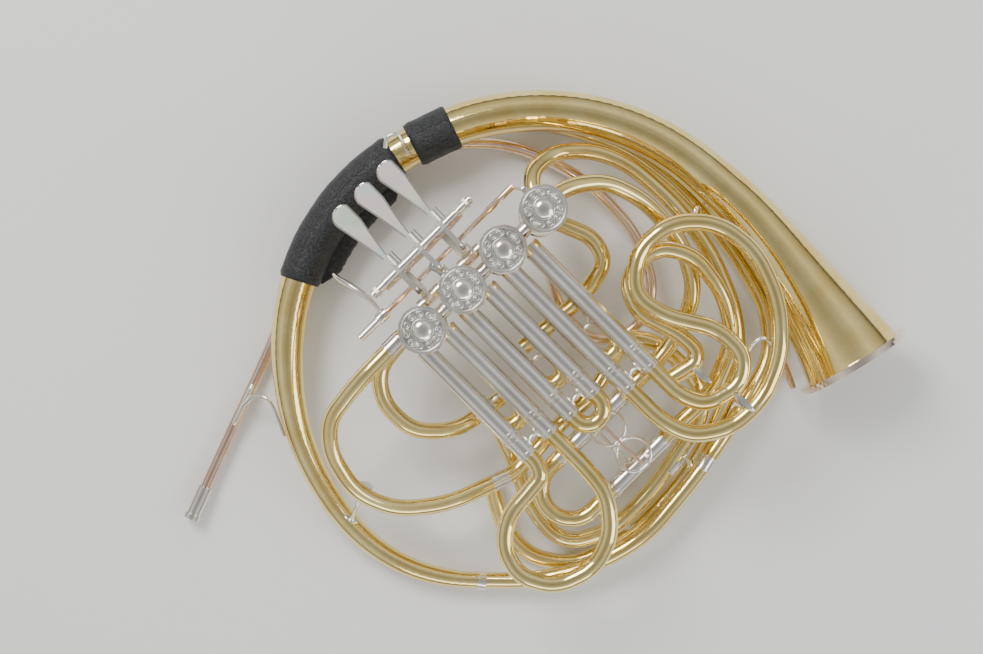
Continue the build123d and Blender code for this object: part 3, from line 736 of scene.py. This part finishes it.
def braces_between_tubes():
    places = {
        "crook_outer": ((133.5, -46, 94), (142.5, -50.5, 94), 4.6),
        "left_to_bell": ((-126, -106, 73), (-140, -135, 29), 5.4),
        "second_to_third": ((99.5, 92, 41), (99, 76, 60), 4.6),
        "outer_to_second": ((118, 97, 18), (111, 88, 33), 4.6),
        "lower_to_outer": ((106, -89, 25), (113, -97, 28), 4.4),
        "bell_to_outer": ((170, 26, 26), (182, 32, 34), 4.6),
        "third_to_crook": ((100, 62, 70), (99, 60.5, 74), 4.0),
        "lower_pair": ((62, -134, 24), (66, -142, 16), 4.4),
    }
    for name, (a, b, size) in places.items():
        brace(f"brace_{name}", xyz(*a), xyz(*b), HORN, size)


def wires():
    arch = [xyz(144, -10, 92), xyz(147, -4.5, 95), xyz(152.5, -0.8, 96), xyz(158, -2.2, 92), xyz(161, -5, 84)]
    sweep("wire_arch", smooth_line(arch), 1.3, NICKEL, HORN)
    sweep("crook_stub", straight(xyz(173, -8, 34), xyz(185.5, -38, 36)), 2.8, ROSE, HORN)
    flange("crook_plate", xyz(139.8, -45.6, 100.6), (0, 0, 1), (0.74, -0.67, 0), 9.0, slim=0.3)
    flange("inner_crook_plate", xyz(112.4, -27.5, 86.0), (0, 0, 1), (0.78, -0.62, 0), 8.5, slim=0.28)
    bar = [uvz(66, -13.5, 78), uvz(72, -14, 78.4), uvz(100, -14, 78.4), uvz(116, -13.5, 78)]
    sweep("ring_bar", smooth_line(bar), 1.2, ROSE, HORN)
    foot = [xyz(-229, -66, 15.0), xyz(-223, -54.5, 15.2), xyz(-215, -36, 14.8)]
    sweep("mouthpipe_brace_foot", smooth_line(foot), 1.9, NICKEL, HORN)


# ---------- leather guard ----------

GUARD_STATIONS = [
    (-182.5, 27, 32, 12.9), (-168.5, 65.5, 33, 13.4), (-143, 103, 33.5, 14.0), (-107.5, 133, 34, 14.4),
    (-65, 154.5, 34.5, 14.7),
]
LEATHER_T = 2.2
FLAP_WIDTH = 12.0
FLAP_DROP = -9.0


def station_line(per_run):
    centres = smooth_line([Vector(s[:3]) for s in GUARD_STATIONS], per_run)
    radii = smooth_line([Vector((s[3], 0, 0)) for s in GUARD_STATIONS], per_run)
    return centres, [r.x for r in radii]


def guard_piece(name, first, last, per_run=14, around=72):
    """A leather sleeve round the branch, puffed between its ends, with rolled edges and a lap seam."""
    centres, radii = station_line(per_run)
    points, faces = [], []
    rows = range(first, last + 1)
    for j in rows:
        along, side, up = frame_along(centres[min(j + 1, len(centres) - 1)] - centres[max(j - 1, 0)])
        edge = min(j - first, last - j)
        thickness = LEATHER_T * (0.62 if edge == 0 else 1.12 if edge == 1 else 1.0)
        for i in range(around):
            angle = 2 * math.pi * i / around
            lap = 0.75 if math.radians(48) < angle < math.radians(112) else 0.0
            wave = 0.10 * math.sin(5 * angle + j * 0.7) + 0.08 * math.sin(j * 1.9 + 2 * angle)
            r = radii[j] + thickness + (lap + wave) * (0.0 if edge == 0 else 1.0)
            points.append(xyz(*(centres[j] + (side * math.cos(angle) + up * math.sin(angle)) * r)))
    for j in rows:
        along, side, up = frame_along(centres[min(j + 1, len(centres) - 1)] - centres[max(j - 1, 0)])
        for i in range(around):
            angle = 2 * math.pi * i / around
            r = radii[j] + 0.15
            points.append(xyz(*(centres[j] + (side * math.cos(angle) + up * math.sin(angle)) * r)))
    count = len(rows)
    inner = count * around
    for j in range(count - 1):
        for i in range(around):
            k = (i + 1) % around
            a, b = j * around, (j + 1) * around
            faces.append((a + i, a + k, b + k, b + i))
            faces.append((inner + b + i, inner + b + k, inner + a + k, inner + a + i))
    for row, flip in ((0, False), ((count - 1) * around, True)):
        for i in range(around):
            k = (i + 1) % around
            face = (row + i, inner + row + i, inner + row + k, row + k)
            faces.append(tuple(reversed(face)) if flip else face)
    piece = add_mesh(name, points, faces, LEATHER, HORN, smooth_angle=70)
    stitches(name, centres, radii, first, last)
    return piece


def stitches(name, centres, radii, first, last):
    """Two rows of short threads along the lap of the leather."""
    lines = []
    for angle_deg in (54.0, 106.0):
        angle = math.radians(angle_deg)
        for j in range(first + 1, last - 1):
            for half in (0.0, 0.5):
                a = centres[j].lerp(centres[j + 1], half + 0.06)
                b = centres[j].lerp(centres[j + 1], half + 0.40)
                along, side, up = frame_along(centres[j + 1] - centres[j])
                out = side * math.cos(angle) + up * math.sin(angle)
                r = radii[j] + LEATHER_T + 0.85
                lines.append([
                    xyz(*(a.lerp(b, k / 4) + out * (r + 0.35 * math.sin(math.pi * k / 4)))) for k in range(5)
                ])
    thin_bars(f"{name}_stitches", lines, 0.32, THREAD, HORN)


def guard_flap(name, first, last, per_run=14):
    """The flat laced edge of the leather, on the side of the valves."""
    centres, radii = station_line(per_run)
    points, faces, seam, edge = [], [], [], []
    rows = list(range(first, last + 1))
    for j in rows:
        share = (j - first) / (last - first)
        heading = centres[min(j + 1, len(centres) - 1)] - centres[max(j - 1, 0)]
        inward = Vector((heading.y, -heading.x, 0)).normalized()
        reach = FLAP_WIDTH * min(1.0, 6 * share + 0.2, 6 * (1 - share) + 0.2) + 0.3 * math.sin(2.3 * j)
        root = centres[j] + inward * (radii[j] * 0.7)
        tip = centres[j] + inward * (radii[j] + reach)
        for place, z in ((root, 3.0), (tip, 0.6), (tip, -0.6), (root, -3.0)):
            points.append(xyz(place.x, place.y, place.z + FLAP_DROP + z))
        seam.append(xyz(tip.x - inward.x * 2.2, tip.y - inward.y * 2.2, tip.z + FLAP_DROP + 1.3))
        edge.append(xyz(tip.x, tip.y, tip.z + FLAP_DROP + 0.2))
    for j in range(len(rows) - 1):
        for i in range(4):
            k = (i + 1) % 4
            faces.append((j * 4 + i, j * 4 + 4 + i, j * 4 + 4 + k, j * 4 + k))
    end = (len(rows) - 1) * 4
    faces += [(0, 1, 2, 3), (end + 3, end + 2, end + 1, end)]
    add_mesh(name, points, faces, LEATHER, HORN, smooth_angle=50)
    dashes = []
    for j in range(len(rows) - 1):
        for half in (0.05, 0.55):
            dashes.append([seam[j].lerp(seam[j + 1], half + 0.38 * k / 2) for k in range(3)])
    thin_bars(f"{name}_stitches", dashes, 0.34, THREAD, HORN)
    sweep(f"{name}_edge", edge, 0.8, THREAD, HORN, 8)


def leather_guard():
    lower = guard_piece("guard_lower", 6, 42)
    upper = guard_piece("guard_upper", 46, 56)
    guard_flap("guard_flap", 7, 40)
    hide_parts("hand_guard")
    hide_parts("hand_guard")


# ---------- stage ----------

CAMERA_HEIGHT = 1.298
LENS_MM = 62.98


def stage_floor():
    size = 6.0
    mesh = bpy.data.meshes.new("floor")
    mesh.from_pydata([(-size, -size, 0), (size, -size, 0), (size, size, 0), (-size, size, 0)], [], [(0, 1, 2, 3)])
    floor = bpy.data.objects.new("floor", mesh)
    mesh.materials.append(floor_material())
    bpy.context.scene.collection.objects.link(floor)


def area_light(name, place, target, size, watts, colour=(1, 1, 1)):
    data = bpy.data.lights.new(name, "AREA")
    data.shape = "RECTANGLE"
    data.size, data.size_y = size
    data.energy = watts
    data.color = colour
    lamp = bpy.data.objects.new(name, data)
    lamp.location = place
    lamp.rotation_euler = (Vector(target) - Vector(place)).to_track_quat("-Z", "Y").to_euler()
    bpy.context.scene.collection.objects.link(lamp)


# A ring of bright cloth round a darker ceiling, so that level faces stand out from the floor.
SKY = [
    (0.0, (0.05, 0.045, 0.04)), (0.50, (0.09, 0.08, 0.07)), (0.62, (0.55, 0.54, 0.52)),
    (0.86, (1.0, 1.0, 1.0)), (0.95, (0.62, 0.62, 0.63)), (1.0, (0.40, 0.41, 0.42)),
]


def studio():
    area_light("key", (-0.9, 1.1, 1.7), (0, 0, 0), (0.9, 0.9), 34, (1.0, 0.98, 0.94))
    area_light("fill", (1.5, -0.4, 1.2), (0, 0, 0), (0.7, 1.4), 10, (0.95, 0.98, 1.0))
    area_light("back", (0.2, -1.6, 1.0), (0, 0, 0), (1.6, 0.5), 7)
    world = bpy.data.worlds.new("studio")
    world.use_nodes = True
    tree, links = world.node_tree.nodes, world.node_tree.links
    coords = tree.new("ShaderNodeTexCoord").outputs["Generated"]
    split = tree.new("ShaderNodeSeparateXYZ")
    links.new(coords, split.inputs["Vector"])
    height = tree.new("ShaderNodeMapRange")
    height.inputs["From Min"].default_value = -1.0
    links.new(split.outputs["Z"], height.inputs["Value"])
    shade = ramp(tree, links, height.outputs["Result"], SKY)
    links.new(shade, tree["Background"].inputs["Color"])
    tree["Background"].inputs["Strength"].default_value = 0.85
    bpy.context.scene.world = world


def camera():
    data = bpy.data.cameras.new("camera")
    data.lens = LENS_MM
    data.sensor_width = 36.0
    obj = bpy.data.objects.new("camera", data)
    obj.location = xyz(-36.5, 7.0, 0) + Vector((0, 0, CAMERA_HEIGHT))
    obj.location.z = CAMERA_HEIGHT
    bpy.context.scene.collection.objects.link(obj)
    bpy.context.scene.camera = obj


dress_cad_nodes()
engraved_caps()
lever_dress()
hinge_dress()
posts_dress()
thumb_dress()
stop_tab()
slide_dress()
tuning_dress()
ferrules_on_branches()
braces_between_tubes()
wires()
leather_guard()
stage_floor()
studio()
camera()
